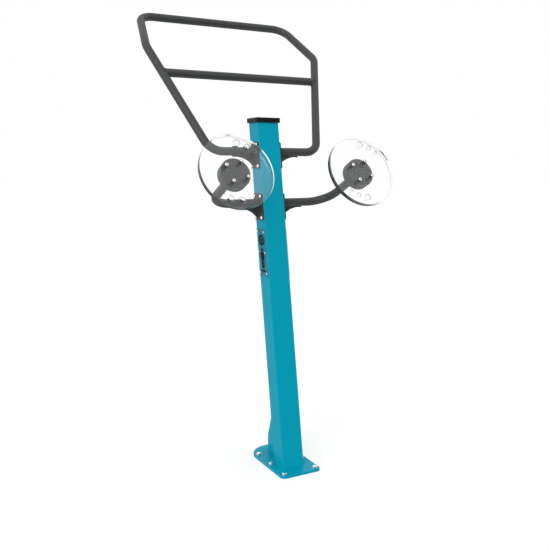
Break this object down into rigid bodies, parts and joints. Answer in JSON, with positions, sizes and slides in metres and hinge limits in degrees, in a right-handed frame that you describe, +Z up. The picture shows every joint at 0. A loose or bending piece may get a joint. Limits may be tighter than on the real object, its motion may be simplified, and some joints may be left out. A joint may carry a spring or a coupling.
{
  "type": "outdoor fitness combo station",
  "caption": "Leaning post on a bolted base plate with an overhead tube loop and crossbar for stretching, and bent arms carrying clear hand wheels that spin freely.",
  "frame": {"origin": "centre of the anchor hole pattern on the underside of the base plate", "axes": "+X to the right seen from the front, +Y to the rear, the way the post leans, +Z up"},
  "size_m": [1.0406, 1.1128, 2.3532],
  "materials": {
    "teal_paint": "satin powder coat",
    "grey_paint": "satin powder coat",
    "black_plastic": "matte",
    "clear_plastic": "clear gloss",
    "sign_plastic": "tinted satin",
    "stainless": "bright",
    "bearing_steel": "polished",
    "black_rubber": "matte"
  },
  "bodies": {
    "frame": {"base_plate": "teal_paint", "post": "teal_paint", "rear_fin": "teal_paint", "post_cap": "black_plastic", "anchor_nuts": "stainless", "anchor_washers": "stainless", "overhead_loop": "grey_paint", "crossbar": "grey_paint", "left_loop_bracket": "grey_paint", "left_loop_gusset": "grey_paint", "left_loop_bolts": "stainless", "left_arm_bracket": "grey_paint", "left_arm_gusset": "grey_paint", "left_arm_bolts": "stainless", "left_weld_nuts": "stainless", "left_sign": "sign_plastic", "left_sign_screws": "stainless", "left_arm_tube": "grey_paint", "left_spindle": "stainless", "left_bearing_inner_rings": "stainless", "left_inner_spacer": "stainless", "left_spindle_clip": "stainless", "right_loop_bracket": "grey_paint", "right_loop_gusset": "grey_paint", "right_loop_bolts": "stainless", "right_arm_bracket": "grey_paint", "right_arm_gusset": "grey_paint", "right_arm_bolts": "stainless", "right_weld_nuts": "stainless", "right_sign": "sign_plastic", "right_sign_screws": "stainless", "right_arm_tube": "grey_paint", "right_spindle": "stainless", "right_bearing_inner_rings": "stainless", "right_inner_spacer": "stainless", "right_spindle_clip": "stainless"},
    "left_wheel": {"left_bearing_outer_rings": "stainless", "left_bearing_balls": "bearing_steel", "left_outer_spacer": "stainless", "left_hub_clip": "stainless", "left_shaft_seal": "black_rubber", "left_hub": "grey_paint", "left_hub_cover": "grey_paint", "left_wheel_disc": "clear_plastic", "left_wheel_bolts": "stainless", "left_wheel_washers": "black_plastic"},
    "right_wheel": {"right_bearing_outer_rings": "stainless", "right_bearing_balls": "bearing_steel", "right_outer_spacer": "stainless", "right_hub_clip": "stainless", "right_shaft_seal": "black_rubber", "right_hub": "grey_paint", "right_hub_cover": "grey_paint", "right_wheel_disc": "clear_plastic", "right_wheel_bolts": "stainless", "right_wheel_washers": "black_plastic"}
  },
  "joints": [
    {"name": "left_wheel_spin", "type": "hinge", "parent": "frame", "child": "left_wheel", "pos_m": [-0.337, -0.13238, 1.49031], "axis": [0, -0.8988, 0.4384], "continuous": true},
    {"name": "right_wheel_spin", "type": "hinge", "parent": "frame", "child": "right_wheel", "pos_m": [0.337, -0.13238, 1.49031], "axis": [0, -0.8988, 0.4384], "continuous": true}
  ]
}
